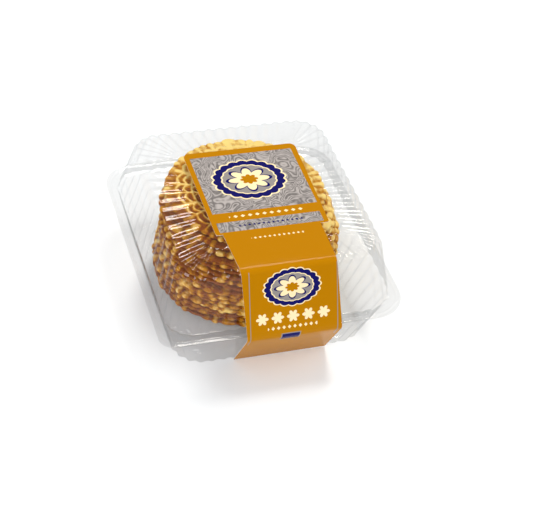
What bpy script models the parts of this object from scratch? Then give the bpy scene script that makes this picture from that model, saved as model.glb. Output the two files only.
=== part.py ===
"""Clear hinged clamshell pack with a stack of pizzelle wafers, held shut by a printed paper band.

Units are metres, +Z is up, the pack stands on Z = 0 and its front faces -Y.
"""

import math
import random

import bmesh
import bpy
from mathutils import Vector

MM = 0.001
CLEARANCE = 0.3 * MM

# Clear sheet that both halves are formed from
SHEET = 0.5 * MM
FLANGE_HALF = Vector((78.0 * MM, 84.7 * MM))
FLANGE_RADIUS = 21.0 * MM
LIFT_CORNER_RADIUS = 9.0 * MM
FLANGE_WIDTH = 6.2 * MM
SPLIT_Z = 37.6 * MM

# Flutes pressed into the walls: how many run along each side and round each corner
SIDE_FLUTES = 12
CORNER_FLUTES = 4
FLUTE_DEPTH = 1.0 * MM

# Lid
LID_TOP_Z = 75.4 * MM
SHOULDER_HALF = Vector((64.4 * MM, 69.2 * MM))
SHOULDER_RADIUS = 18.0 * MM
SHOULDER_ROUND = 2.0 * MM
RIBBED_MARGIN = 19.5 * MM

# Tray
FOOT_HALF = Vector((61.8 * MM, 66.6 * MM))
FOOT_RADIUS = 18.5 * MM
FOOT_WIDTH = 9.0 * MM
FOOT_INNER_RADIUS = 11.0 * MM
HEEL = 1.5 * MM
FLOOR_RISE = 6.0 * MM
FLOOR_SLOPE = 4.0 * MM
FLOOR_RADIUS = 9.0 * MM

# Hinge fold behind the two flanges
HINGE_HALF_LENGTH = 46.0 * MM
HINGE_RADIUS = 0.6 * MM

# Stack of wafers, which leans a little and narrows towards the lid
WAFER_COUNT = 20
WAFER_THICKNESS = 2.75 * MM
WAFER_RIM = 3.0 * MM
WAFER_STEPS = 32
RADIUS_SPREAD = 0.6 * MM
STACK_TOP_GAP = 4.2 * MM
STACK_SPREAD = 0.8 * MM
# Share of the stack's height from its bottom, then the middle's X and Y and the wafers' radius
STACK_SHAPE = (
    (0.00, -3.5 * MM, 7.0 * MM, 54.5 * MM),
    (0.20, -2.5 * MM, 2.5 * MM, 57.0 * MM),
    (0.60, -0.2 * MM, 0.5 * MM, 57.5 * MM),
    (0.85, -2.5 * MM, 2.5 * MM, 54.5 * MM),
    (1.00, -2.5 * MM, 8.0 * MM, 51.0 * MM),
)

# Paper band: a panel on the lid, then a narrower strip over the front, stuck on a little askew
BAND_THICKNESS = 0.35 * MM
PANEL_BACK_Y = 42.7 * MM
PANEL_FRONT_Y = -35.5 * MM
PANEL_BACK_X = (-35.2 * MM, 39.2 * MM)
PANEL_FRONT_X = (-34.8 * MM, 36.8 * MM)
STRIP_TOP_X = (-30.6 * MM, 31.2 * MM)
STRIP_SHOULDER_X = (-29.0 * MM, 30.6 * MM)
STRIP_EDGE_X = (-26.3 * MM, 33.3 * MM)
BAND_FOLD_RADIUS = 1.6 * MM
BAND_END_Z = 0.6 * MM
FOLD_STEPS = 4


def clear_scene():
    for item in list(bpy.data.objects):
        bpy.data.objects.remove(item, do_unlink=True)


def make_collection(name):
    collection = bpy.data.collections.new(name)
    bpy.context.scene.collection.children.link(collection)
    return collection


def make_material(name, colour, roughness, transmission=0.0):
    material = bpy.data.materials.new(name)
    material.use_nodes = True
    shader = material.node_tree.nodes["Principled BSDF"]
    shader.inputs["Base Color"].default_value = (*colour, 1.0)
    shader.inputs["Roughness"].default_value = roughness
    shader.inputs["Metallic"].default_value = 0.0
    shader.inputs["Transmission Weight"].default_value = transmission
    return material


def add_object(name, bm, material, collection):
    mesh = bpy.data.meshes.new(name)
    bm.to_mesh(mesh)
    bm.free()
    mesh.materials.append(material)
    item = bpy.data.objects.new(name, mesh)
    collection.objects.link(item)
    return item


def thicken(item, thickness):
    """Gives an open sheet its thickness on the side that its faces turn away from."""
    modifier = item.modifiers.new("Sheet", "SOLIDIFY")
    modifier.thickness = thickness
    modifier.offset = -1.0
    modifier.use_even_offset = True


def smooth(item, angle_degrees):
    item.data.shade_smooth()
    item.data.set_sharp_from_angle(angle=math.radians(angle_degrees))


def rounded_outline(half, radii):
    """Valleys and crests of the flutes round a rounded rectangle: (point, outward normal) pairs.

    radii are those of the corners at +X+Y, -X+Y, -X-Y and +X-Y.
    """
    stations = []
    corner_signs = ((1, 1), (-1, 1), (-1, -1), (1, -1))
    for index, (sign_x, sign_y) in enumerate(corner_signs):
        radius = radii[index]
        centre = Vector((sign_x * (half.x - radius), sign_y * (half.y - radius)))
        start_angle = index * math.pi / 2
        for step in range(2 * CORNER_FLUTES):
            angle = start_angle + math.pi / 2 * step / (2 * CORNER_FLUTES)
            normal = Vector((math.cos(angle), math.sin(angle)))
            stations.append((centre + normal * radius, normal))
        next_x, next_y = corner_signs[(index + 1) % 4]
        next_radius = radii[(index + 1) % 4]
        next_centre = Vector((next_x * (half.x - next_radius), next_y * (half.y - next_radius)))
        normal = Vector((math.cos(start_angle + math.pi / 2), math.sin(start_angle + math.pi / 2)))
        side_start = centre + normal * radius
        side_end = next_centre + normal * next_radius
        for step in range(2 * SIDE_FLUTES):
            fraction = step / (2 * SIDE_FLUTES)
            stations.append((side_start.lerp(side_end, fraction), normal))
    return stations


def ring(half, radius, z, flute=0.0, groove=0.0, lift_radius=None):
    """One closed line of the sheet. Valleys sit flute further in and groove lower than crests."""
    radii = [radius] * 4
    if lift_radius is not None:
        radii[2] = lift_radius
    points = []
    for index, (point, normal) in enumerate(rounded_outline(half, radii)):
        valley = (index + 1) % 2
        flat = point - normal * (flute * valley)
        points.append(Vector((flat.x, flat.y, z - groove * valley)))
    return points


def inset(half, distance):
    return Vector((half.x - distance, half.y - distance))


def loft(rings, upward):
    """Joins rings from the middle outwards and closes the first one with a flat panel."""
    bm = bmesh.new()
    rows = [[bm.verts.new(point) for point in points] for points in rings]
    count = len(rows[0])
    bm.faces.new(rows[0] if upward else rows[0][::-1])
    for inner, outer in zip(rows, rows[1:]):
        for index in range(count):
            after = (index + 1) % count
            corners = [inner[index], outer[index], outer[after], inner[after]]
            bm.faces.new(corners if upward else corners[::-1])
    return bm


def wall_foot():
    return inset(FLANGE_HALF, FLANGE_WIDTH)


def build_lid(material, collection):
    flange_z = SPLIT_Z + CLEARANCE / 2 + SHEET
    wall_radius = FLANGE_RADIUS - FLANGE_WIDTH / 2
    rings = [
        ring(inset(SHOULDER_HALF, RIBBED_MARGIN), SHOULDER_RADIUS / 2, LID_TOP_Z),
        ring(inset(SHOULDER_HALF, SHOULDER_ROUND), SHOULDER_RADIUS, LID_TOP_Z, groove=FLUTE_DEPTH),
        ring(SHOULDER_HALF, SHOULDER_RADIUS, LID_TOP_Z - SHOULDER_ROUND, flute=FLUTE_DEPTH),
        ring(wall_foot(), wall_radius, flange_z, flute=FLUTE_DEPTH),
        ring(FLANGE_HALF, FLANGE_RADIUS, flange_z, lift_radius=LIFT_CORNER_RADIUS),
    ]
    lid = add_object("lid", loft(rings, upward=True), material, collection)
    thicken(lid, SHEET)
    smooth(lid, 35)


def build_tray(material, collection):
    flange_z = SPLIT_Z - CLEARANCE / 2 - SHEET
    wall_radius = FLANGE_RADIUS - FLANGE_WIDTH / 2
    rings = [
        ring(inset(FOOT_HALF, FOOT_WIDTH + FLOOR_SLOPE), FLOOR_RADIUS, FLOOR_RISE),
        ring(inset(FOOT_HALF, FOOT_WIDTH), FOOT_INNER_RADIUS, 0.0),
        ring(inset(FOOT_HALF, HEEL), FOOT_RADIUS, 0.0),
        ring(FOOT_HALF, FOOT_RADIUS, HEEL, flute=FLUTE_DEPTH),
        ring(wall_foot(), wall_radius, flange_z, flute=FLUTE_DEPTH),
        ring(FLANGE_HALF, FLANGE_RADIUS, flange_z, lift_radius=LIFT_CORNER_RADIUS),
    ]
    tray = add_object("tray", loft(rings, upward=False), material, collection)
    thicken(tray, SHEET)
    smooth(tray, 35)


def build_hinge(material, collection):
    """The rolled fold behind the back edges of the two flanges."""
    bm = bmesh.new()
    bmesh.ops.create_cone(
        bm, cap_ends=True, segments=10, radius1=HINGE_RADIUS, radius2=HINGE_RADIUS,
        depth=2 * HINGE_HALF_LENGTH,
    )
    hinge = add_object("hinge", bm, material, collection)
    hinge.location = (0.0, FLANGE_HALF.y + CLEARANCE + HINGE_RADIUS, SPLIT_Z)
    hinge.rotation_euler = (0.0, math.pi / 2, 0.0)
    smooth(hinge, 50)


def wafer_outline(radius, seed):
    """Baked wafers aren't quite round: a few slow waves of seeded size round the rim."""
    source = random.Random(seed)
    waves = [(lobes, source.uniform(0.2, 0.6) * MM, source.uniform(0.0, 2 * math.pi))
             for lobes in (2, 3, 5, 8)]
    radii = []
    for step in range(WAFER_STEPS):
        angle = 2 * math.pi * step / WAFER_STEPS
        radii.append(radius + sum(size * math.sin(lobes * angle + phase)
                                  for lobes, size, phase in waves))
    return radii


def build_wafer(name, centre, radius, seed, material, collection):
    """A thin disc whose faces meet in a thin rim."""
    bm = bmesh.new()
    half = WAFER_THICKNESS / 2
    levels = ((-half, WAFER_RIM), (0.0, 0.0), (half, WAFER_RIM))
    outline = wafer_outline(radius, seed)
    rows = []
    for z, in_by in levels:
        row = []
        for step, rim in enumerate(outline):
            angle = 2 * math.pi * step / WAFER_STEPS
            reach = rim - in_by
            row.append(bm.verts.new((reach * math.cos(angle), reach * math.sin(angle), z)))
        rows.append(row)
    bm.faces.new(rows[0][::-1])
    bm.faces.new(rows[-1])
    for lower, upper in zip(rows, rows[1:]):
        for step in range(WAFER_STEPS):
            after = (step + 1) % WAFER_STEPS
            bm.faces.new((lower[step], lower[after], upper[after], upper[step]))
    wafer = add_object(name, bm, material, collection)
    wafer.location = centre
    smooth(wafer, 30)


def stack_at(share):
    """Middle and radius of the stack at a share of its height."""
    for lower, upper in zip(STACK_SHAPE, STACK_SHAPE[1:]):
        if share <= upper[0]:
            break
    part = (share - lower[0]) / (upper[0] - lower[0])
    x, y, radius = (low + (high - low) * part for low, high in zip(lower[1:], upper[1:]))
    return Vector((x, y)), radius


def build_stack(material, collection):
    source = random.Random(7)
    bottom = FLOOR_RISE + SHEET + CLEARANCE
    top = LID_TOP_Z - SHEET - STACK_TOP_GAP
    pitch = (top - bottom - WAFER_THICKNESS) / (WAFER_COUNT - 1)
    for index in range(WAFER_COUNT):
        middle, radius = stack_at(index / (WAFER_COUNT - 1))
        flat = middle + Vector((source.uniform(-1, 1), source.uniform(-1, 1))) * STACK_SPREAD
        radius += source.uniform(-1, 1) * RADIUS_SPREAD
        z = bottom + WAFER_THICKNESS / 2 + pitch * index
        name = f"pizzelle_{index + 1:02d}"
        build_wafer(name, (flat.x, flat.y, z), radius, index, material, collection)


def fold(centre, start_degrees, end_degrees):
    """Points of a rounded fold in the YZ plane."""
    points = []
    for step in range(FOLD_STEPS + 1):
        angle = math.radians(start_degrees + (end_degrees - start_degrees) * step / FOLD_STEPS)
        points.append((centre[0] - BAND_FOLD_RADIUS * math.sin(angle),
                       centre[1] + BAND_FOLD_RADIUS * math.cos(angle)))
    return points


def band_route():
    """Crosswise lines of the strip's underside, from the panel's front edge down to the base.

    Each is the strip's left and right X there, then Y and Z.
    """
    top = LID_TOP_Z + CLEARANCE
    shoulder_y = -(SHOULDER_HALF.y - SHOULDER_ROUND / 2)
    edge_y = -(FLANGE_HALF.y + CLEARANCE)
    heel_y = -(FOOT_HALF.y + 2 * CLEARANCE)
    slope = math.degrees(math.atan2(top - SPLIT_Z, shoulder_y - edge_y))
    under = math.degrees(math.atan2(SPLIT_Z - BAND_END_Z, heel_y - edge_y))
    shoulder = (shoulder_y, top - BAND_FOLD_RADIUS)
    edge = (edge_y + BAND_FOLD_RADIUS / 2, SPLIT_Z)
    route = [(STRIP_TOP_X, PANEL_FRONT_Y, top)]
    route += [(STRIP_SHOULDER_X, y, z) for y, z in fold(shoulder, 0.0, slope)]
    route += [(STRIP_EDGE_X, y, z) for y, z in fold(edge, slope, 180.0 - under)]
    route.append((STRIP_EDGE_X, heel_y, BAND_END_Z))
    return route


def build_band(material, collection):
    bm = bmesh.new()
    top = LID_TOP_Z + CLEARANCE
    back = [bm.verts.new((x, PANEL_BACK_Y, top))
            for x in (PANEL_BACK_X[0], *STRIP_TOP_X, PANEL_BACK_X[1])]
    front = [bm.verts.new((x, PANEL_FRONT_Y, top))
             for x in (PANEL_FRONT_X[0], *STRIP_TOP_X, PANEL_FRONT_X[1])]
    for column in range(3):
        bm.faces.new((front[column], front[column + 1], back[column + 1], back[column]))
    left, right = front[1], front[2]
    for (left_x, right_x), y, z in band_route()[1:]:
        next_left = bm.verts.new((left_x, y, z))
        next_right = bm.verts.new((right_x, y, z))
        bm.faces.new((next_left, next_right, right, left))
        left, right = next_left, next_right
    band = add_object("paper_band", bm, material, collection)
    thickness = band.modifiers.new("Paper", "SOLIDIFY")
    thickness.thickness = BAND_THICKNESS
    thickness.offset = 1.0
    smooth(band, 30)


def main():
    clear_scene()
    parts = make_collection("pizzelle_pack")
    clear_plastic = make_material("clear_pet", (0.92, 0.94, 0.94), 0.08, transmission=0.95)
    baked_wafer = make_material("baked_wafer", (0.62, 0.36, 0.12), 0.7)
    printed_paper = make_material("printed_paper", (0.62, 0.27, 0.01), 0.4)
    build_tray(clear_plastic, parts)
    build_stack(baked_wafer, parts)
    build_lid(clear_plastic, parts)
    build_hinge(clear_plastic, parts)
    build_band(printed_paper, parts)


main()
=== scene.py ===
"""Clear fluted clamshell pack with a stack of pizzelle, held shut by a printed label.

Every length is in metres and +Z is up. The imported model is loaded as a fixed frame, and each piece
here takes its place from it.
"""

import math
import random

import bpy
import numpy as np
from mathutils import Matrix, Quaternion, Vector


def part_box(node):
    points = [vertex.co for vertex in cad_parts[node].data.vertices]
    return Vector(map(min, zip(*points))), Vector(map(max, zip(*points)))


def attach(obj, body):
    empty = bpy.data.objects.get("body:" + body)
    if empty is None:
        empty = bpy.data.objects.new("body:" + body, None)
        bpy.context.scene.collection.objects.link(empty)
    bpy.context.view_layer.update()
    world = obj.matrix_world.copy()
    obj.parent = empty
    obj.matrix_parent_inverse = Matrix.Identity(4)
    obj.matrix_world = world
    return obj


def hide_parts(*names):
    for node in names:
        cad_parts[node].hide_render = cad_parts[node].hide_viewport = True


bl_info = {
    "name": "Pizzelle Clamshell Pack",
    "version": (1, 0, 0),
    "blender": (4, 5, 0),
    "location": "3D View > Sidebar > Pizzelle Pack",
    "description": "Builds a clear fluted clamshell pack of pizzelle with a printed paper label",
    "category": "Add Mesh",
}

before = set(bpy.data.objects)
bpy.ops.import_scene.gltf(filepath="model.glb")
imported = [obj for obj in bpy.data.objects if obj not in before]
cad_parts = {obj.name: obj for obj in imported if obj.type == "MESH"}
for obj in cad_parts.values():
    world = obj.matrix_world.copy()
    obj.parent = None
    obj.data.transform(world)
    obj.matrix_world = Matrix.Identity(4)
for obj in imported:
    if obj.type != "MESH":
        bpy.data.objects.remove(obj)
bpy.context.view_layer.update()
LID_LOW, LID_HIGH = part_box("lid")
TRAY_LOW, TRAY_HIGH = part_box("tray")
HINGE_LOW, HINGE_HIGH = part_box("hinge")
BAND_LOW, BAND_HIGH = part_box("paper_band")
WAFER_NODES = sorted(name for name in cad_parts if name.startswith("pizzelle"))

MM = 0.001
# Points nearer than this to each other are one point of a seam or pole
WELD_DISTANCE = 0.002 * MM
BODY = "root"


def linear_colour(code):
    """Linear RGB of an sRGB hex code."""
    channels = [int(code[start:start + 2], 16) / 255 for start in (1, 3, 5)]
    return tuple(c / 12.92 if c <= 0.04045 else ((c + 0.055) / 1.055) ** 2.4 for c in channels)


def length(name, description, value):
    """A length that a user can change, in metres."""
    return bpy.props.FloatProperty(
        name=name, description=description, default=value, unit="LENGTH", precision=5
    )


def colour(name, description, code):
    """A colour that a user can change, given as an sRGB hex code."""
    return bpy.props.FloatVectorProperty(
        name=name, description=description, default=linear_colour(code), subtype="COLOR",
        size=3, min=0.0, max=1.0,
    )


def whole(name, description, value, least):
    """A whole number that a user can change."""
    return bpy.props.IntProperty(name=name, description=description, default=value, min=least)


def degrees(name, description, value):
    """An angle that a user can change, given in degrees."""
    return bpy.props.FloatProperty(
        name=name, description=description, default=math.radians(value), subtype="ANGLE"
    )


class ClamshellSizes(bpy.types.PropertyGroup):
    """Sizes of the formed lid and tray."""

    flange_width: length("Flange width", "From the foot of the wall to the edge", 6.2 * MM)
    flange_radius: length("Flange corner radius", "Radius of three flange corners", 21 * MM)
    lift_radius: length("Lifting corner radius", "Radius of the squarer front left corner", 9 * MM)
    bead_height: length("Bead height", "Height of the bead along the flange", 0.5 * MM)
    side_flutes: whole("Side flutes", "Flutes along each side", 12, 1)
    corner_flutes: whole("Corner flutes", "Flutes round each corner", 4, 1)
    flute_columns: whole("Columns per flute", "Mesh columns across each flute", 10, 4)
    flute_depth: length("Flute depth", "Depth of the valleys between flutes", 1.0 * MM)
    heel_depth: length("Heel flute depth", "Depth of the valleys at the tray's heel", 1.7 * MM)
    shoulder_x: length("Shoulder half width", "Half width at the lid's shoulder", 64.4 * MM)
    shoulder_y: length("Shoulder half length", "Half length at the lid's shoulder", 69.2 * MM)
    shoulder_drop: length("Shoulder drop", "Depth of the shoulder line below the top", 2 * MM)
    shoulder_radius: length("Shoulder corner radius", "Corner radius seen from above", 18 * MM)
    shoulder_round: length("Shoulder rounding", "Rounding between top and wall", 5 * MM)
    rib_length: length("Top rib length", "Length of the ribs on the lid's margin", 18.5 * MM)
    foot_x: length("Foot half width", "Half width of the tray's foot", 61.8 * MM)
    foot_y: length("Foot half length", "Half length of the tray's foot", 66.6 * MM)
    foot_radius: length("Foot corner radius", "Corner radius of the tray's foot", 18.5 * MM)
    foot_ring: length("Foot ring", "Width of the ring that the tray stands on", 9 * MM)
    floor_rise: length("Floor rise", "Height of the raised tray floor", 6 * MM)
    heel_round: length("Heel rounding", "Rounding between foot and wall", 2.5 * MM)
    tint: colour("Clear tint", "What the sheet lets through seen straight on", "#F8F8F8")
    edge_tint: colour("Edge tint", "What the sheet lets through seen edge on", "#E6E7E8")


class WaferLooks(bpy.types.PropertyGroup):
    """Shape and colours of the baked wafers."""

    rim_lobes: whole("Rim knobs", "Pressed knobs round the rim", 48, 12)
    relief: length("Relief", "Height of the pressed ridges on each face", 0.68 * MM)
    thickness: length("Thickness", "Thickness of the wafer between its ridges", 1.5 * MM)
    knob_depth: length("Knob depth", "How far the rim draws in between two knobs", 1.3 * MM)
    rim_round: length("Rim rounding", "Rounding of the rim", 1.2 * MM)
    # Painted shade: every wafer is coloured darker on the side that faces this way, away from the key
    # light
    painted_shade_side: degrees("Browner side", "Direction in which the wafers are browned most", 215)
    # The ramp's pale end also serves as painted highlight on the ridges, and its brown end as painted
    # shade in the grooves and on the shaded side
    pale: colour("Pale crust", "Least baked ridges", "#FFE085")
    golden: colour("Golden crust", "Most of the wafer", "#C68406")
    brown: colour("Brown crust", "Browned grooves", "#864200")


class LabelLooks(bpy.types.PropertyGroup):
    """Colours of the printed label."""

    thickness: length("Thickness", "Thickness of the label paper", 0.2 * MM)
    ground: colour("Ground", "Main printed colour", "#B47700")
    silver: colour("Silver field", "Patterned field on the panel", "#908A87")
    navy: colour("Navy", "Medallion rims, small diamonds and the tab", "#14145C")
    cream: colour("Cream", "Light ornaments", "#F6E2B4")


class StudioSetup(bpy.types.PropertyGroup):
    """Camera and lights."""

    turn: degrees("Turn", "How far the camera stands to the left of the front", 21.35)
    elevation: degrees("Elevation", "How far the camera looks down from the horizontal", 41.91)
    roll: degrees("Roll", "Tilt of the camera about its own axis", 7.24)
    distance: length("Distance", "From the camera to the point that it looks at", 0.8985)
    target_height: length("Target height", "Height of the point that it looks at", 0.0246)
    lens: bpy.props.FloatProperty(
        name="Focal length", description="Focal length in millimetres", default=92.5
    )
    shift: bpy.props.FloatProperty(
        name="Shift", description="Sideways shift of the frame", default=0.0467
    )
    floor: colour("Floor", "Pale studio floor", "#F5F8FB")
    world_strength: bpy.props.FloatProperty(
        name="Surroundings", description="Brightness of the studio walls", default=0.44, min=0.0
    )


# ---------------------------------------------------------------- shared tools


def settings():
    """The sizes and colours that a user can change."""
    return bpy.context.scene.pizzelle_pack


def deselect_all():
    """Leaves edit mode and selects nothing, so that an operator acts only on what comes next."""
    if bpy.context.mode != "OBJECT":
        bpy.ops.object.mode_set(mode="OBJECT")
    bpy.ops.object.select_all(action="DESELECT")


# Where a Mix node keeps its two colours and the colour that it gives
MIX_A, MIX_B, MIX_RESULT = 6, 7, 2


def add_node(tree, kind, values=None, inputs=None):
    """Adds a shader node, sets its values, and fills or links its inputs."""
    node = tree.nodes.new("ShaderNode" + kind)
    for name, value in (values or {}).items():
        setattr(node, name, value)
    for key, value in (inputs or {}).items():
        if isinstance(value, bpy.types.NodeSocket):
            tree.links.new(value, node.inputs[key])
        else:
            node.inputs[key].default_value = value
    return node


def new_material(name):
    """An empty node material and its output node."""
    material = bpy.data.materials.new(name)
    material.use_nodes = True
    material.node_tree.nodes.clear()
    output = add_node(material.node_tree, "OutputMaterial")
    return material, material.node_tree, output


def grid_through(name, points, loop):
    """A grid primitive laid through points[row, column], its columns joined into a loop if asked."""
    rows, columns = points.shape[:2]
    across = columns if loop else columns - 1
    deselect_all()
    bpy.ops.mesh.primitive_grid_add(x_subdivisions=across, y_subdivisions=rows - 1, size=1)
    piece = bpy.context.object
    piece.name = name
    piece.data.name = name
    flat = np.empty(len(piece.data.vertices) * 3)
    piece.data.vertices.foreach_get("co", flat)
    flat = flat.reshape(-1, 3)
    column = np.rint((flat[:, 0] + 0.5) * across).astype(int) % columns
    row = np.rint((flat[:, 1] + 0.5) * (rows - 1)).astype(int)
    piece.data.vertices.foreach_set("co", points[row, column].ravel())
    return piece, row, column


def weld(piece):
    """Merges the doubled points of a seam or pole."""
    bpy.context.view_layer.objects.active = piece
    piece.select_set(True)
    bpy.ops.object.mode_set(mode="EDIT")
    bpy.ops.mesh.select_all(action="SELECT")
    bpy.ops.mesh.remove_doubles(threshold=WELD_DISTANCE)
    bpy.ops.object.mode_set(mode="OBJECT")


def shade(piece, angle):
    """Smooths every edge flatter than an angle in degrees."""
    deselect_all()
    piece.select_set(True)
    bpy.context.view_layer.objects.active = piece
    bpy.ops.object.shade_smooth_by_angle(angle=math.radians(angle))


def set_attribute(piece, name, values):
    """Stores one number for each point, for the piece's material to read."""
    attribute = piece.data.attributes.new(name, "FLOAT", "POINT")
    attribute.data.foreach_set("value", values.astype(np.float32))


def mix(first, second, share):
    """What lies a share of the way from the first value to the second."""
    return first + (second - first) * share


def smooth_step(low, high, value):
    """0 below low and 1 above high, with a soft rise between them."""
    share = np.clip((value - low) / (high - low), 0.0, 1.0)
    return share * share * (3 - 2 * share)


def finish_piece(piece, material, slot, *nodes):
    """Gives a piece its body, lets it stand for CAD nodes, and gives it its material if it has only
    one. The slot is not used."""
    if material is not None:
        piece.data.materials.clear()
        piece.data.materials.append(material)
    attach(piece, BODY)
    if nodes:
        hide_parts(*nodes)


# ---------------------------------------------------------------- clear sheet


CLEAR_PET = "thermoformed_clear_pet"
# Share of the light that the sheet mirrors face on, and how much more it mirrors edge on
FACE_ON_GLOSS = 0.036
EDGE_ON_GLOSS = 0.55
RIPPLE_LENGTH = 9.09 * MM
# Edges flatter than this, in degrees, are smooth
SHEET_SMOOTHING = 50
# How far the sheet of each flange lies inside the outer face of its solid
FLANGE_LIFT = 0.35 * MM
# Rise of the tray's foot above the lowest point of its solid
SOLE_LIFT = 0.1 * MM
# The flange from the wall's foot to its edge: shares of its width, and of the bead's height
FLANGE_PROFILE = ((0.12, 0.0), (0.40, 0.0), (0.50, 0.0), (0.54, 0.55), (0.60, 0.95), (0.66, 0.95),
                  (0.72, 0.55), (0.76, 0.0), (0.90, 0.0), (0.97, -0.1))
FLANGE_LIP = 0.3 * MM
# Height below the tray's flange over which its flutes run out
FLUTE_END = 0.8 * MM
# Length over which the ribs of the lid's margin rise out of its flat middle, and the plain
# border inside them
RIB_RISE = 2.4 * MM
RIB_BORDER = 3 * MM
# Rounding between the lid's wall and its flange
LID_FILLET = 1.2 * MM
# How much a corner's radius shrinks for each unit that its ring lies further in
CORNER_SHRINK = 0.6
# The slope between the tray's foot ring and its floor, and how much tighter its corners are
FLOOR_SLOPE = 4 * MM
RING_CORNER_CUT = 8 * MM
FLOOR_CORNER_CUT = 12 * MM
# Mesh steps round a rounded edge, and up a rise or a wall
ROUND_STEPS = 8
RISE_STEPS = 6
LID_WALL_STEPS = 8
TRAY_WALL_STEPS = 9
FILLET_STEPS = 4
# The snap domes on the front flange
PIP_PLACES = ((43.5 * MM, -80.6 * MM), (50.5 * MM, -79.9 * MM))
PIP_RADIUS = 2.0 * MM
PIP_HEIGHT = 1.3 * MM
# The hinge's fold: shares of its solid's radius, for its own radius and for where it is cut open
HINGE_RADIUS_SHARE = 0.9
HINGE_CUT_SHARE = 0.4


def clear_pet():
    """Thermoformed clear PET sheet: almost invisible face on, greyer and glossier edge on."""
    sizes = settings().clamshell
    material, tree, output = new_material(CLEAR_PET)
    place = add_node(tree, "TexCoord")
    # The sheet chills unevenly as it is formed, which leaves long, shallow ripples
    ripple = add_node(tree, "TexNoise", None,
                      {"Vector": place.outputs["Object"], "Scale": 1 / RIPPLE_LENGTH, "Detail": 2.0})
    bump = add_node(tree, "Bump", None,
                    {"Height": ripple.outputs["Fac"], "Strength": 0.12, "Distance": 0.0004})
    facing = add_node(tree, "LayerWeight", None,
                      {"Blend": 0.5, "Normal": bump.outputs["Normal"]})
    edge_on = add_node(tree, "Math", {"operation": "POWER"},
                       {0: facing.outputs["Facing"], 1: 2.0})
    tint = add_node(tree, "Mix", {"data_type": "RGBA"},
                    {0: edge_on.outputs[0], MIX_A: (*sizes.tint, 1.0),
                     MIX_B: (*sizes.edge_tint, 1.0)})
    through = add_node(tree, "BsdfTransparent", None,
                       {"Color": tint.outputs[MIX_RESULT]})
    gloss = add_node(tree, "BsdfGlossy", None,
                     {"Color": (1.0, 1.0, 1.0, 1.0), "Roughness": 0.07,
                      "Normal": bump.outputs["Normal"]})
    # The gloss of PET: a few per cent of the light face on, and over half of it edge on
    grazing = add_node(tree, "Math", {"operation": "POWER"},
                       {0: facing.outputs["Facing"], 1: 5.0})
    share = add_node(tree, "Math", {"operation": "MULTIPLY_ADD"},
                     {0: grazing.outputs[0], 1: EDGE_ON_GLOSS, 2: FACE_ON_GLOSS})
    mixed = add_node(tree, "MixShader", None,
                     {0: share.outputs[0], 1: through.outputs[0], 2: gloss.outputs[0]})
    tree.links.new(mixed.outputs[0], output.inputs["Surface"])
    return material


def outline(half, radii):
    """Points, outward normals and flute phase round a rounded rectangle, anticlockwise.

    radii are those of the corners at +X+Y, -X+Y, -X-Y and +X-Y. The phase runs from 0 in a valley
    over a crest to 1 in the next valley.
    """
    sizes = settings().clamshell
    per_quarter = sizes.corner_flutes + sizes.side_flutes
    count = 4 * per_quarter * sizes.flute_columns
    flutes = np.arange(count) / sizes.flute_columns
    points, normals = np.empty((count, 2)), np.empty((count, 2))
    signs = ((1, 1), (-1, 1), (-1, -1), (1, -1))
    centres = [np.array([sx * (half[0] - r), sy * (half[1] - r)])
               for (sx, sy), r in zip(signs, radii)]
    for quarter in range(4):
        local = flutes - quarter * per_quarter
        corner = (local >= 0) & (local < sizes.corner_flutes)
        side = (local >= sizes.corner_flutes) & (local < per_quarter)
        angle = math.pi / 2 * (quarter + local[corner] / sizes.corner_flutes)
        turned = np.stack([np.cos(angle), np.sin(angle)], axis=1)
        normals[corner] = turned
        points[corner] = centres[quarter] + turned * radii[quarter]
        end_angle = math.pi / 2 * (quarter + 1)
        straight = np.array([math.cos(end_angle), math.sin(end_angle)])
        after = (quarter + 1) % 4
        start = centres[quarter] + straight * radii[quarter]
        end = centres[after] + straight * radii[after]
        share = ((local[side] - sizes.corner_flutes) / sizes.side_flutes)[:, None]
        points[side] = start + (end - start) * share
        normals[side] = straight
    return points, normals, flutes % 1.0


def valley(phase):
    """How deep a flute's section lies, from 1 in a valley, at phase 0, to 0 on a crest."""
    return 0.5 + 0.5 * np.cos(2 * math.pi * phase)


def ring(half, radius, z, tilt=0.0, flute=0.0, lift=None):
    """One closed line of the sheet.

    tilt is the angle of its outward normal from straight up or, for the tray, from straight down.
    flute is the depth to which the flutes press it in against that normal, and lift the radius of
    the lifting corner where that differs from the rest.
    """
    radii = [radius] * 4
    if lift is not None:
        radii[2] = lift
    points, normals, phase = outline(half, radii)
    depth = flute * valley(phase)
    made = np.empty((len(points), 3))
    made[:, :2] = points - normals * (depth * abs(math.sin(tilt)))[:, None]
    made[:, 2] = z - depth * math.cos(tilt)
    return made


def flange_rows(foot, edge, rise, lip):
    """Rows from the foot of a wall to the flange's edge, with a bead on the way and a turned lip.

    rise is 1 for a bead that stands up and -1 for one that hangs down, and lip is the turned
    edge's drop.
    """
    sizes = settings().clamshell
    rows = []
    for share, height in FLANGE_PROFILE:
        row = mix(foot, edge, share)
        row[:, 2] = foot[:, 2].max() + rise * sizes.bead_height * height
        rows.append(row)
    for turned in (0.4, 1.0):
        row = edge.copy()
        row[:, 2] = edge[:, 2].max() - lip * turned
        rows.append(row)
    return rows


def wall_foot(sizes, half_flange):
    """Where the wall meets the flange, as a half size or a pair of them."""
    return half_flange - sizes.flange_width


def lid_wall():
    """The lid wall's run outwards for each metre of drop, and its normal's tilt from straight up."""
    sizes = settings().clamshell
    drop = LID_HIGH.z - sizes.shoulder_drop - (LID_LOW.z + FLANGE_LIFT)
    run = (wall_foot(sizes, LID_HIGH.x) - sizes.shoulder_x) / drop
    return run, math.pi / 2 - math.atan(run)


def shoulder_crown():
    """Where the rounding of the shoulder meets the flat top, out from the shoulder line."""
    sizes = settings().clamshell
    run, tilt = lid_wall()
    fall = sizes.shoulder_round * (1 - math.cos(tilt)) - sizes.shoulder_drop
    return fall * run - sizes.shoulder_round * math.sin(tilt)


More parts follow.
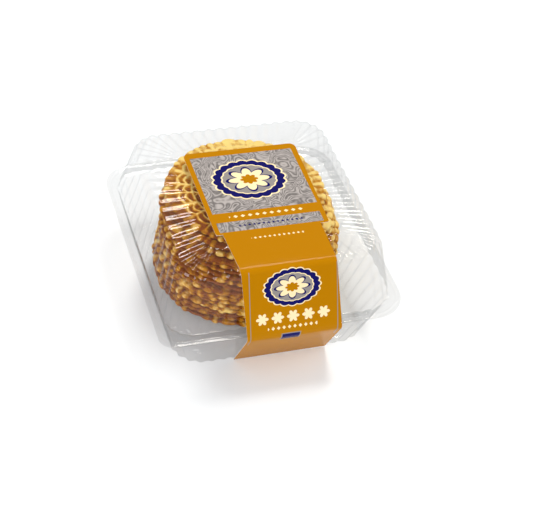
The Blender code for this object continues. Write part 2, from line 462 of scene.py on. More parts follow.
def lid_rings():
    """Rings of the lid from its middle to its edge."""
    sizes = settings().clamshell
    top = LID_HIGH.z
    flange_z = LID_LOW.z + FLANGE_LIFT
    flange = np.array([LID_HIGH.x, LID_HIGH.y])
    foot = wall_foot(sizes, flange)
    foot_radius = sizes.flange_radius - sizes.flange_width / 2
    shoulder = np.array([sizes.shoulder_x, sizes.shoulder_y])
    slope_run, wall_tilt = lid_wall()
    rounding = sizes.shoulder_round

    def on_wall(z):
        """How far the wall stands outside the shoulder line at a height."""
        return (top - sizes.shoulder_drop - z) * slope_run

    def wall_radius(z):
        """The wall's corner radius at a height."""
        share = on_wall(z) / (foot[0] - shoulder[0])
        return mix(sizes.shoulder_radius, foot_radius, share)

    tangent_z = top - rounding + rounding * math.cos(wall_tilt)
    crown = shoulder_crown()
    rib_end = crown - sizes.rib_length
    inner_radius = sizes.shoulder_radius * CORNER_SHRINK
    # The flat middle, then the margin with its ribs
    rings = [ring(shoulder * share, inner_radius * share, top) for share in (0.0, 0.35)]
    rings.append(ring(shoulder + rib_end - RIB_BORDER, inner_radius, top))
    for step in range(RISE_STEPS + 1):
        share = step / RISE_STEPS
        reach = rib_end + RIB_RISE * share
        rings.append(ring(shoulder + reach, sizes.shoulder_radius + reach * CORNER_SHRINK, top,
                          flute=sizes.flute_depth * smooth_step(0, 1, share)))
    for share in (0.35, 0.7, 1.0):
        reach = mix(rib_end + RIB_RISE, crown, share)
        rings.append(ring(shoulder + reach, sizes.shoulder_radius + reach * CORNER_SHRINK, top,
                          flute=sizes.flute_depth))
    # The rounded shoulder
    for step in range(1, ROUND_STEPS + 1):
        tilt = wall_tilt * step / ROUND_STEPS
        reach = crown + rounding * math.sin(tilt)
        radius = sizes.shoulder_radius + min(reach, 0.0) * CORNER_SHRINK
        z = top - rounding + rounding * math.cos(tilt)
        rings.append(ring(shoulder + reach, radius, z, tilt, sizes.flute_depth))
    # The wall and the fillet at its foot, where the flutes run out
    fillet_z = flange_z + LID_FILLET - LID_FILLET * math.cos(wall_tilt)
    for step in range(1, LID_WALL_STEPS + 1):
        z = mix(tangent_z, fillet_z, step / LID_WALL_STEPS)
        rings.append(ring(shoulder + on_wall(z), wall_radius(z), z, wall_tilt, sizes.flute_depth))
    centre_out = on_wall(fillet_z) + LID_FILLET * math.sin(wall_tilt)
    for step in range(1, FILLET_STEPS + 1):
        tilt = wall_tilt * (1 - step / FILLET_STEPS)
        reach = centre_out - LID_FILLET * math.sin(tilt)
        made = ring(shoulder + reach, foot_radius, 0.0, wall_tilt,
                    sizes.flute_depth * (1 - step / (FILLET_STEPS + 1)))
        made[:, 2] = flange_z + LID_FILLET - LID_FILLET * math.cos(tilt)
        rings.append(made)
    edge = ring(flange, sizes.flange_radius, flange_z, lift=sizes.lift_radius)
    return rings + flange_rows(rings[-1], edge, 1.0, FLANGE_LIP)


def tray_rings():
    """Rings of the tray from the middle of its floor to its edge."""
    sizes = settings().clamshell
    sole = TRAY_LOW.z + SOLE_LIFT
    flange_z = TRAY_HIGH.z - FLANGE_LIFT
    flange = np.array([TRAY_HIGH.x, TRAY_HIGH.y])
    top_foot = wall_foot(sizes, flange)
    top_radius = sizes.flange_radius - sizes.flange_width / 2
    foot = np.array([sizes.foot_x, sizes.foot_y])
    slope_run = (top_foot[0] - foot[0]) / (flange_z - sole)
    wall_tilt = math.pi / 2 - math.atan(slope_run)
    # The raised floor, and the slope down to the foot ring
    floor = foot - sizes.foot_ring - FLOOR_SLOPE
    floor_radius = sizes.foot_radius - FLOOR_CORNER_CUT
    rings = [ring(floor * share, floor_radius * share, sizes.floor_rise)
             for share in (0.0, 0.5, 0.97)]
    for step in range(1, RISE_STEPS + 1):
        share = step / RISE_STEPS
        half = mix(floor, foot - sizes.foot_ring, share)
        radius = mix(floor_radius, sizes.foot_radius - RING_CORNER_CUT, share)
        rings.append(ring(half, radius, mix(sizes.floor_rise, sole, smooth_step(0, 1, share))))
    # The rounded heel, where the flutes begin
    heel = sizes.heel_round
    tangent_z = sole + heel - heel * math.cos(wall_tilt)
    crown = (tangent_z - sole) * slope_run - heel * math.sin(wall_tilt)
    rings.append(ring(foot + crown, sizes.foot_radius, sole))
    for step in range(1, ROUND_STEPS + 1):
        tilt = wall_tilt * step / ROUND_STEPS
        made = ring(foot + crown + heel * math.sin(tilt), sizes.foot_radius, 0.0, math.pi / 2,
                    sizes.heel_depth * math.sin(math.pi / 2 * step / ROUND_STEPS))
        made[:, 2] = sole + heel - heel * math.cos(tilt)
        rings.append(made)
    # The wall, and the flange
    for step in range(1, TRAY_WALL_STEPS + 1):
        share = step / TRAY_WALL_STEPS
        z = mix(tangent_z, flange_z - FLUTE_END, share)
        radius = mix(sizes.foot_radius, top_radius, share)
        made = ring(foot + (z - sole) * slope_run, radius, z, wall_tilt,
                    mix(sizes.heel_depth, sizes.flute_depth, share))
        made[:, 2] = z
        rings.append(made)
    rings.append(ring(top_foot, top_radius, flange_z))
    edge = ring(flange, sizes.flange_radius, flange_z, lift=sizes.lift_radius)
    return rings + flange_rows(rings[-1], edge, -1.0, -FLANGE_LIP)


def snap_pip(x, y):
    """A small dome pressed up out of the flange."""
    middle = Vector((x, y, LID_LOW.z + FLANGE_LIFT))
    deselect_all()
    bpy.ops.mesh.primitive_uv_sphere_add(segments=32, ring_count=16, radius=PIP_RADIUS,
                                         location=middle)
    pip = bpy.context.object
    pip.scale = (1.0, 1.0, PIP_HEIGHT / PIP_RADIUS)
    bpy.ops.object.transform_apply(location=True, rotation=False, scale=True)
    bpy.ops.object.mode_set(mode="EDIT")
    bpy.ops.mesh.select_all(action="SELECT")
    bpy.ops.mesh.bisect(plane_co=middle, plane_no=(0, 0, 1), clear_inner=True)
    bpy.ops.object.mode_set(mode="OBJECT")
    return pip


class PIZZELLE_OT_lid(bpy.types.Operator):
    """Forms the lid: ribbed margin, rounded shoulder, fluted walls and a beaded flange"""

    bl_idname = "pizzelle.lid"
    bl_label = "Clear Lid"

    def execute(self, context):
        rings = np.array(lid_rings())[:, ::-1]
        lid, _, _ = grid_through("clear_lid", rings, loop=True)
        weld(lid)
        pips = [snap_pip(x, y) for x, y in PIP_PLACES]
        deselect_all()
        for piece in (lid, *pips):
            piece.select_set(True)
        bpy.context.view_layer.objects.active = lid
        bpy.ops.object.join()
        shade(lid, SHEET_SMOOTHING)
        finish_piece(lid, clear_pet(), "clear_pet", "lid")
        return {"FINISHED"}


class PIZZELLE_OT_tray(bpy.types.Operator):
    """Forms the tray: raised floor, foot ring, fluted walls and a beaded flange"""

    bl_idname = "pizzelle.tray"
    bl_label = "Clear Tray"

    def execute(self, context):
        tray, _, _ = grid_through("clear_tray", np.array(tray_rings()), loop=True)
        weld(tray)
        shade(tray, SHEET_SMOOTHING)
        finish_piece(tray, bpy.data.materials[CLEAR_PET], "clear_pet", "tray")
        return {"FINISHED"}


class PIZZELLE_OT_hinge(bpy.types.Operator):
    """Bends the fold that joins the two flanges at the back"""

    bl_idname = "pizzelle.hinge"
    bl_label = "Hinge Fold"

    def execute(self, context):
        radius = (HINGE_HIGH.y - HINGE_LOW.y) / 2
        middle = (HINGE_LOW + HINGE_HIGH) / 2
        deselect_all()
        bpy.ops.mesh.primitive_cylinder_add(
            vertices=24, radius=radius * HINGE_RADIUS_SHARE, depth=HINGE_HIGH.x - HINGE_LOW.x,
            end_fill_type="NOTHING", location=middle, rotation=(0, math.pi / 2, 0),
        )
        hinge = bpy.context.object
        hinge.name = "hinge_fold"
        bpy.ops.object.transform_apply(location=True, rotation=True, scale=True)
        bpy.ops.object.mode_set(mode="EDIT")
        bpy.ops.mesh.select_all(action="SELECT")
        cut = middle - Vector((0, radius * HINGE_CUT_SHARE, 0))
        bpy.ops.mesh.bisect(plane_co=cut, plane_no=(0, 1, 0), clear_inner=True)
        bpy.ops.object.mode_set(mode="OBJECT")
        shade(hinge, SHEET_SMOOTHING)
        finish_piece(hinge, bpy.data.materials[CLEAR_PET], "clear_pet", "hinge")
        return {"FINISHED"}


# ---------------------------------------------------------------- wafers


# The iron's pattern from the middle out, in shares of a wafer's radius: the tips of a rosette, a
# ring, a curved lattice, a second ring, and two rows of petals with the depth of their scallops
ROSETTE_TIP = 0.25
ROSETTE_END = 0.28
RINGS_AT = (0.285, 0.665)
LATTICE = (0.29, 0.66)
LATTICE_CURL = 0.9
PETAL_ROWS = ((0.71, 0.055), (0.80, 0.05))
# Straight spokes cross the petals, and rise out of the second ring over this stretch
SPOKE_RISE = (0.66, 0.68)
# How wide a dot the iron presses in the middle, and how wide the ridges round it
MIDDLE_DOT = 1.5 * MM
ROSETTE_RIDGE = 0.9 * MM
RING_RIDGE = 0.85 * MM
LATTICE_RIDGE = 1.0 * MM
PETAL_RIDGE = 0.95 * MM
SPOKE_RIDGE = 1.1 * MM
# The knobbed rim takes over from the pattern between these distances from a wafer's edge
RIM_BAND = (6.5 * MM, 2.5 * MM)
KNOB_SIZES = (0.45, 1.15)
# Waves round a wafer, each with its number of lobes and its size: of the pattern's turn in
# radians, and of the edge and the wafer's own warp in millimetres
TURN_WAVES = ((6, 0.03), (11, 0.02), (17, 0.012))
EDGE_WAVES = ((2, 0.5), (3, 0.4), (5, 0.3), (9, 0.25), (14, 0.2))
OWN_WAVES = ((1, 0.25), (2, 0.15), (4, 0.1), (9, 0.12), (15, 0.1))
# Lobes, size in millimetres and phase of the waves that all wafers share, and where they are full
STACK_WAVES = ((2, 0.45, 0.6), (3, 0.35, 2.1), (5, 0.2, 4.0))
STACK_REACH = 55 * MM
# Painted shade on the side of every wafer that faces away from the key light, browning of the rim, and
# the range of a wafer's own share
SIDE_PAINTED_SHADE = 0.8
RIM_BROWNING = 0.15
OWN_BROWNING = (-0.3, -0.05)
# The top two wafers get a finer mesh, because the face of the rest is covered
DETAILED_WAFERS = 2
DETAILED_ROWS = 90
WAFER_SMOOTHING = 80
# Patches where the iron was hotter, blisters in the batter, and the crumb's grain
PATCH_WIDTH = 11.76 * MM
BLISTER_WIDTH = 2.63 * MM
GRAIN_SIZE = 0.833 * MM


def baked_wafer():
    """Thin wafer baked in a patterned iron: dry, matt crust, painted paler on ridges as a highlight
    and browner in grooves as shade.
    """
    looks = settings().wafers
    material, tree, output = new_material("baked_pizzelle_crust")
    place = add_node(tree, "TexCoord")
    relief = add_node(tree, "Attribute", {"attribute_name": "relief"})
    toast_and_shade = add_node(tree, "Attribute", {"attribute_name": "toast_and_shade"})
    patches = add_node(tree, "TexNoise", None,
                       {"Vector": place.outputs["Object"], "Scale": 1 / PATCH_WIDTH, "Detail": 2.0})
    blisters = add_node(tree, "TexNoise", None,
                        {"Vector": place.outputs["Object"], "Scale": 1 / BLISTER_WIDTH, "Detail": 2.0})
    grain = add_node(tree, "TexNoise", None,
                     {"Vector": place.outputs["Object"], "Scale": 1 / GRAIN_SIZE, "Detail": 4.0})
    # How pale each spot stays: more on ridges as painted highlight, less in grooves as painted shade,
    # less where the rim or the whole wafer was toasted, and less on the side painted as shaded
    level = -0.57
    for source, weight in ((relief, 0.75), (blisters, 1.0), (patches, 0.6), (grain, 0.35),
                           (toast_and_shade, -1.0)):
        level = add_node(tree, "Math", {"operation": "MULTIPLY_ADD"},
                         {0: source.outputs["Fac"], 1: weight, 2: level}).outputs[0]
    ramp = add_node(tree, "ValToRGB", None, {"Fac": level})
    stops = ramp.color_ramp.elements
    stops[0].position, stops[0].color = 0.0, (*looks.brown, 1.0)
    stops[1].position, stops[1].color = 0.85, (*looks.pale, 1.0)
    stops.new(0.36).color = (*looks.golden, 1.0)
    rough = add_node(tree, "Math", {"operation": "MULTIPLY_ADD"},
                     {0: blisters.outputs["Fac"], 1: 2.0, 2: grain.outputs["Fac"]})
    bump = add_node(tree, "Bump", None,
                    {"Height": rough.outputs[0], "Strength": 0.8, "Distance": 0.0004})
    crust = add_node(tree, "BsdfPrincipled", None,
                     {"Base Color": ramp.outputs["Color"], "Roughness": 0.6,
                      "Specular IOR Level": 0.1, "Normal": bump.outputs["Normal"]})
    tree.links.new(crust.outputs[0], output.inputs["Surface"])
    return material


def ridge(distance, width):
    """1 on the line of a ridge, with a soft fall to 0 beside it."""
    return np.exp(-(distance / width) ** 2)


def spokes(angle, radius, count, width):
    """Radial ridges, evenly spaced."""
    turns = count * angle / (2 * math.pi)
    gap = np.abs(turns - np.rint(turns)) * 2 * math.pi * np.maximum(radius, 1e-6) / count
    return ridge(gap, width)


def pressed_pattern(radius, angle, reach, lobes):
    """Height from 0 to 1 of the iron's pattern: a middle rosette, a curved lattice, then petals."""
    share = radius / reach
    petal = ROSETTE_TIP * reach * np.sqrt(np.abs(np.cos(4 * angle)))
    made = [ridge(radius - petal, ROSETTE_RIDGE) * (share < ROSETTE_END), ridge(radius, MIDDLE_DOT)]
    lattice = (share > LATTICE[0]) & (share < LATTICE[1])
    for hand in (-1, 1):
        curl = angle + hand * LATTICE_CURL * np.log(np.maximum(share, 0.05))
        made.append(spokes(curl, radius, lobes * 5 // 12, LATTICE_RIDGE) * lattice)
    scallop = np.abs(np.sin(lobes / 4 * angle))
    made += [ridge(radius - reach * (at + depth * scallop), PETAL_RIDGE)
             for at, depth in PETAL_ROWS]
    outside = smooth_step(*SPOKE_RISE, share)
    made.append(spokes(angle, radius, lobes // 2, SPOKE_RIDGE) * outside)
    made += [ridge(radius - at * reach, RING_RIDGE) for at in RINGS_AT]
    return np.maximum.reduce(made)


def rim_lobes(angle, count):
    """1 on the middle of each knob round the rim and 0 between two knobs."""
    return np.abs(np.cos(count / 2 * angle)) ** 0.8


def knob_sizes(angle, count, source):
    """A size for each knob round the rim, because batter never fills them all alike."""
    sizes = np.array([source.uniform(*KNOB_SIZES) for _ in range(count)])
    return sizes[np.rint(angle * count / (2 * math.pi)).astype(int) % count]


def wafer_rows(detailed):
    """A wafer's rows from the middle of its top over the rim to the middle of its underside.

    Each has a share of the flat face's radius, and an angle round the rim from straight up. A
    plain wafer, whose face is covered, has few rows near its middle.
    """
    if detailed:
        over = np.linspace(0.0, 1.0, DETAILED_ROWS)
    else:
        over = np.concatenate([[0.0, 0.4, 0.62], np.linspace(0.68, 1.0, 26)])
    under = np.array([1.0, 0.96, 0.92, 0.88, 0.84, 0.78, 0.4, 0.0])
    round_rim = np.linspace(0.0, math.pi, 9)[1:-1]
    shares = np.concatenate([over, np.ones(len(round_rim)), under])
    turns = np.concatenate([np.zeros(len(over)), round_rim, np.full(len(under), math.pi)])
    return shares, turns


def stack_warp(radius, angle):
    """The slow waves that every wafer of the stack shares, because each lies on the next."""
    lift = sum(size * MM * np.sin(lobes * angle + phase) for lobes, size, phase in STACK_WAVES)
    return lift * (radius / STACK_REACH) ** 2


def wave(angle, lobes, size, source):
    """One slow wave round a wafer, at a random phase."""
    return size * np.sin(lobes * angle + source.uniform(0, 2 * math.pi))


class PIZZELLE_OT_wafers(bpy.types.Operator):
    """Bakes the stack of wafers, each pressed with the iron's pattern and each a little different"""

    bl_idname = "pizzelle.wafers"
    bl_label = "Pizzelle Stack"

    def execute(self, context):
        crust = baked_wafer()
        for index, node in enumerate(WAFER_NODES):
            self.build(node, index, index >= len(WAFER_NODES) - DETAILED_WAFERS, crust)
        return {"FINISHED"}

    def build(self, node, seed, detailed, crust):
        """Bakes one wafer in place of its CAD node."""
        looks = settings().wafers
        source = random.Random(100 + seed)
        low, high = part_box(node)
        middle = (low + high) / 2
        reach = (high.x - low.x + high.y - low.y) / 4
        columns_per_knob = 10 if detailed else 8
        columns = looks.rim_lobes * columns_per_knob
        angle = np.linspace(0.0, 2 * math.pi, columns, endpoint=False)
        turned = angle + source.uniform(0.0, 2 * math.pi)
        turned += sum(wave(angle, lobes, size, source) for lobes, size in TURN_WAVES)
        knobs = rim_lobes(turned, looks.rim_lobes) * knob_sizes(turned, looks.rim_lobes, source)
        edge = reach - looks.knob_depth * (1 - knobs)
        for lobes, size in EDGE_WAVES:
            edge += wave(angle, lobes, size * MM, source)
        shares, turns = wafer_rows(detailed)
        flat = edge - looks.rim_round
        radius = shares[:, None] * flat[None, :] + looks.rim_round * np.sin(turns)[:, None]
        spin = np.broadcast_to(turned[None, :], radius.shape)
        inside = pressed_pattern(radius, spin, reach, looks.rim_lobes)
        outer = smooth_step(reach - RIM_BAND[0], reach - RIM_BAND[1], radius)
        relief = inside * (1 - outer) + knobs[None, :] * outer
        half = looks.thickness / 2 + looks.relief * relief
        z = half * np.cos(turns)[:, None] + stack_warp(radius, angle)
        own = sum(wave(angle, lobes, size * MM, source) for lobes, size in OWN_WAVES)
        z = z + own[None, :] * (radius / reach) ** 2
        # Columns run clockwise, so that the faces point outwards
        points = np.stack([middle.x + radius * np.cos(angle), middle.y + radius * np.sin(angle),
                           middle.z + z], axis=2)[:, ::-1]
        wafer, row, column = grid_through(node.replace("pizzelle", "wafer"), points, loop=True)
        # Painted shade: every wafer is coloured darker on the same side, the one away from the key
        # light; rim browning and each wafer's own browning are real
        shade_side_share = 0.5 + 0.5 * np.cos(angle - looks.painted_shade_side + source.uniform(-0.6, 0.6))
        browning_and_shade = (SIDE_PAINTED_SHADE * shade_side_share[None, :] + RIM_BROWNING * outer
                   + source.uniform(*OWN_BROWNING))
        set_attribute(wafer, "relief", relief[:, ::-1][row, column])
        set_attribute(wafer, "toast_and_shade", browning_and_shade[:, ::-1][row, column])
        weld(wafer)
        shade(wafer, WAFER_SMOOTHING)
        finish_piece(wafer, crust, "baked_wafer", node)


# ---------------------------------------------------------------- label


def arc(centre, radius, start, end, steps):
    """Points of an arc in the YZ plane; angles are those of its outward normal from straight up."""
    angles = np.linspace(start, end, steps + 1)
    return [(centre[0] - radius * math.sin(a), centre[1] + radius * math.cos(a)) for a in angles]


def between(first, last, steps):
    """Points between two others, without the two themselves."""
    return [tuple(mix(np.array(first), np.array(last), step / steps)) for step in range(1, steps)]


# The wide panel on top: its back edge, its length, its left and right edges at the back and at
# the front, and its rounded corners there
PANEL_BACK_Y = BAND_HIGH.y
PANEL_LENGTH = 78.2 * MM
PANEL_LEFT = (-35.2 * MM, -34.8 * MM)
PANEL_RIGHT = (39.2 * MM, 36.8 * MM)
BACK_CORNER = 4.0 * MM
FRONT_CORNER = 1.5 * MM
# Left and right edges of the narrower strip where the panel ends, on the shoulder fold and from
# the flange down
STRIP_LEFT = (-30.6 * MM, -29.0 * MM, -26.3 * MM)
STRIP_RIGHT = (31.2 * MM, 30.6 * MM, 33.3 * MM)
# The fold over the flanges: its radius, how far it stands out past them, and how far its centre
# lies below the joint between them
FOLD_RADIUS = 5.0 * MM
FOLD_OVERHANG = 0.7 * MM
FOLD_DROP = 2.0 * MM
# Gaps between the label and the sheet below it, on the lid and at the tray's heel
LID_GAP = 0.1 * MM
HEEL_GAP = 0.6 * MM
LABEL_COLUMNS = 33
LABEL_SMOOTHING = 35
# The label is mapped in millimetres, and so are the curls and the veins in the marbling of its
# silver fields, and its own waviness
CURL_WIDTH = 11.1
VEIN_WIDTH = 2.22
WAVE_LENGTH = 14.3
# Real fibres are finer: their tooth is drawn this coarse so that it shows
FIBRE_TOOTH = 0.667 * MM

# Print, in millimetres across the label and along it. Fields are given by two corners,
# medallions by their centre and half size, and rows of diamonds by their middle line, pitch,
# diamond size and span. What belongs to the front counts from the shoulder fold.
SILVER_FIELDS = (((-31.8, 5.0), (35.2, 59.2)), ((-31.8, 67.6), (33.9, 76.4)))
TOP_MEDALLION = ((0.0, 30.5), (24.5, 19.5))
TOP_ROWS = (
    (63.4, 4.6, (2.9, 2.5), (-22.5, 25.5), "cream"),
    (72.0, 3.0, (2.0, 1.8), (-19.5, 22.5), "navy"),
    (84.0, 3.0, (1.8, 1.8), (-14.5, 18.5), "cream"),
)
FRONT_MEDALLION = ((2.2, 13.2), (18.5, 12.2))
FRONT_ROW = (38.0, 3.4, (2.2, 2.4), (-13.5, 17.5))
FLOWERS = 5
FIRST_FLOWER = (-16.8, 31.4)
FLOWER_PITCH = 9.6
FLOWER_HALF = (3.9, 3.9)
FLOWER_GAPS = ((1.8, 3.0), (-18.0, 24.0))
# The tab stands on the fold over the flanges, and side rules run from the shoulder past it
TAB = ((-4.4, -1.0), (6.6, 5.0))
TAB_BORDER = 0.6
RULES_AT = ((-24.4, -23.9), (30.2, 30.7))
RULE_ENDS = (1.0, 9.0)
# Layers of a medallion from its rim in: share of its size, petals, depth of their gaps, ink
MEDALLION_LAYERS = (
    (1.0, 20, 0.07, "cream"),
    (0.95, 20, 0.07, "navy"),
    (0.74, 20, 0.04, "cream"),
    (0.70, 20, 0.04, "silver"),
    (0.62, 8, 0.42, "navy"),
    (0.54, 8, 0.42, "cream"),
    (0.24, 8, 0.30, "ground"),
)


def label_route():
    """Underside of the label in the YZ plane with the distance along it, and where it folds."""
    sizes = settings().clamshell
    top = LID_HIGH.z + LID_GAP
    shoulder_radius = sizes.shoulder_round + LID_GAP
    shoulder = (-(sizes.shoulder_y + shoulder_crown()), LID_HIGH.z - sizes.shoulder_round)
    edge = (-LID_HIGH.y + FOLD_RADIUS - FOLD_OVERHANG, (LID_LOW.z + TRAY_HIGH.z) / 2 - FOLD_DROP)
    heel = (-sizes.foot_y - HEEL_GAP, BAND_LOW.z)
    # The two straight runs touch the bend and the fold, whose angles follow from that
    run, drop = shoulder[0] - edge[0], shoulder[1] - edge[1]
    lean = math.asin((shoulder_radius - FOLD_RADIUS) / math.hypot(run, drop))
    slope = math.atan2(drop, run) + lean
    back, fall = heel[0] - edge[0], edge[1] - heel[1]
    under = math.atan2(back, fall) + math.pi / 2 + math.asin(FOLD_RADIUS / math.hypot(back, fall))
    front_y = PANEL_BACK_Y - PANEL_LENGTH
    # Rows lie closer together where the panel's corners are rounded
    route = [(PANEL_BACK_Y, top)]
    route += [(PANEL_BACK_Y - share * BACK_CORNER, top) for share in (0.03, 0.12, 0.3, 0.6, 1.0)]
    route += between(route[-1], (front_y + 2 * MM, top), 12)
    route += [(front_y + gap * MM, top) for gap in (2.0, 1.0, 0.5, 0.2, 0.05, 0.0, -0.02)]
    bend = arc(shoulder, shoulder_radius, 0.0, slope, ROUND_STEPS)
    route += between(route[-1], bend[0], 6) + bend
    shoulder_index = len(route) - 1 - len(bend) // 2
    fold = arc(edge, FOLD_RADIUS, slope, under, ROUND_STEPS)
    route += between(bend[-1], fold[0], 10) + fold
    edge_index = len(route) - 1 - len(fold) // 2
    route += between(fold[-1], heel, 8) + [heel]
    route = np.array(route)
    steps = np.hypot(*np.diff(route, axis=0).T)
    along = np.concatenate([[0.0], np.cumsum(steps)])
    return route, along, along[shoulder_index], along[edge_index]


def label_edges(along, shoulder_at, edge_at):
    """Left and right X of the label at each distance along it."""
    stations = [0.0, PANEL_LENGTH, PANEL_LENGTH + 0.01 * MM, shoulder_at, edge_at, along[-1]]
    left = np.interp(along, stations, [*PANEL_LEFT, *STRIP_LEFT, STRIP_LEFT[-1]])
    right = np.interp(along, stations, [*PANEL_RIGHT, *STRIP_RIGHT, STRIP_RIGHT[-1]])
    # The rounded corners pull both edges in
    back_in = np.clip(BACK_CORNER - along, 0.0, None)
    pull = BACK_CORNER - np.sqrt(np.clip(BACK_CORNER ** 2 - back_in ** 2, 0.0, None))
    front_in = np.clip(FRONT_CORNER - (PANEL_LENGTH - along), 0.0, FRONT_CORNER)
    front_in = front_in * (along <= PANEL_LENGTH)
    pull = pull + FRONT_CORNER - np.sqrt(np.clip(FRONT_CORNER ** 2 - front_in ** 2, 0.0, None))
    return left + pull, right - pull


def shift_along(place, distance):
    """An (across, along) place, moved along the label."""
    return place[0], place[1] + distance


def box_mask(tree, across, along, low, high):
    """1 inside a rectangle given by its (across, along) corners in millimetres, 0 outside."""
    masks = []
    for place, first, last in ((across, low[0], high[0]), (along, low[1], high[1])):
        masks.append(add_node(tree, "Math", {"operation": "COMPARE"},
                              {0: place, 1: (first + last) / 2, 2: (last - first) / 2}))
    both = add_node(tree, "Math", {"operation": "MULTIPLY"},
                    {0: masks[0].outputs[0], 1: masks[1].outputs[0]})
    return both.outputs[0]


def flower_mask(tree, across, along, centre, half, petals, dip):
    """1 inside a flower, or a scalloped oval, with rounded petals.

    half is its half width and half height, and dip the share of them by which the gaps between
    petals draw in.
    """
    aside = add_node(tree, "Math", {"operation": "SUBTRACT"}, {0: across, 1: centre[0]})
    ahead = add_node(tree, "Math", {"operation": "SUBTRACT"}, {0: along, 1: centre[1]})
    wide = add_node(tree, "Math", {"operation": "DIVIDE"},
                    {0: aside.outputs[0], 1: half[0]})
    tall = add_node(tree, "Math", {"operation": "DIVIDE"},
                    {0: ahead.outputs[0], 1: half[1]})
    angle = add_node(tree, "Math", {"operation": "ARCTAN2"},
                     {0: tall.outputs[0], 1: wide.outputs[0]})
    both = add_node(tree, "CombineXYZ", None,
                    {0: wide.outputs[0], 1: tall.outputs[0]})
    away = add_node(tree, "VectorMath", {"operation": "LENGTH"}, {0: both.outputs[0]})
    turned = add_node(tree, "Math", {"operation": "MULTIPLY"},
                      {0: angle.outputs[0], 1: petals / 2})
    swing = add_node(tree, "Math", {"operation": "COSINE"}, {0: turned.outputs[0]})
    lobes = add_node(tree, "Math", {"operation": "ABSOLUTE"}, {0: swing.outputs[0]})
    rim = add_node(tree, "Math", {"operation": "MULTIPLY_ADD"},
                   {0: lobes.outputs[0], 1: dip, 2: 1 - dip})
    inside = add_node(tree, "Math", {"operation": "LESS_THAN"},
                      {0: away.outputs["Value"], 1: rim.outputs[0]})
    return inside.outputs[0]


def diamond_row(tree, across, along, middle, pitch, size, span):
    """A row of diamonds across the label, pitch apart between the two ends of span."""
    cell = add_node(tree, "Math", {"operation": "PINGPONG"},
                    {0: across, 1: pitch / 2})
    aside = add_node(tree, "Math", {"operation": "DIVIDE"},
                     {0: cell.outputs[0], 1: size[0] / 2})
    offset = add_node(tree, "Math", {"operation": "SUBTRACT"}, {0: along, 1: middle})
    ahead = add_node(tree, "Math", {"operation": "ABSOLUTE"}, {0: offset.outputs[0]})
    total = add_node(tree, "Math", {"operation": "MULTIPLY_ADD"},
                     {0: ahead.outputs[0], 1: 2 / size[1], 2: aside.outputs[0]})
    inside = add_node(tree, "Math", {"operation": "LESS_THAN"},
                      {0: total.outputs[0], 1: 1.0})
    ends = box_mask(tree, across, along, (span[0], middle - size[1]), (span[1], middle + size[1]))
    row = add_node(tree, "Math", {"operation": "MULTIPLY"},
                   {0: inside.outputs[0], 1: ends})
    return row.outputs[0]


def medallion(tree, across, along, centre, half, looks):
    """Layers of an oval medallion: a scalloped navy rim, silver and cream rings and a flower."""
    layers = []
    for share, petals, dip, ink in MEDALLION_LAYERS:
        size = (half[0] * share, half[1] * share)
        mask = flower_mask(tree, across, along, centre, size, petals, dip)
        layers.append((mask, getattr(looks, ink)))
    return layers


def print_layers(tree, across, along, fold, last, marbling):
    """Masks and inks of all that is printed on the ground, from the lowest up.

    fold and last are where the label folds over the shoulder and over the flanges.
    """
    looks = settings().label
    layers = [(box_mask(tree, across, along, low, high), marbling) for low, high in SILVER_FIELDS]
    layers += medallion(tree, across, along, *TOP_MEDALLION, looks)
    layers += [(diamond_row(tree, across, along, *row), getattr(looks, ink))
               for *row, ink in TOP_ROWS]
    centre, half = FRONT_MEDALLION
    layers += medallion(tree, across, along, shift_along(centre, fold), half, looks)
    middle, *row = FRONT_ROW
    layers.append((diamond_row(tree, across, along, fold + middle, *row), looks.cream))
    for border, ink in ((TAB_BORDER, looks.silver), (0.0, looks.navy)):
        low = (TAB[0][0] - border, last + TAB[0][1] - border)
        high = (TAB[1][0] + border, last + TAB[1][1] + border)
        layers.append((box_mask(tree, across, along, low, high), ink))
    for left, right in RULES_AT:
        low = (left, fold + RULE_ENDS[0])
        high = (right, last + RULE_ENDS[1])
        layers.append((box_mask(tree, across, along, low, high), looks.silver))
    first = shift_along(FIRST_FLOWER, fold)
    for step in range(FLOWERS):
        centre = (first[0] + FLOWER_PITCH * step, first[1])
        layers.append((flower_mask(tree, across, along, centre, FLOWER_HALF, 6, 0.5), looks.cream))
    gaps = diamond_row(tree, across, along, first[1], FLOWER_PITCH, *FLOWER_GAPS)
    layers.append((gaps, looks.cream))
    return layers


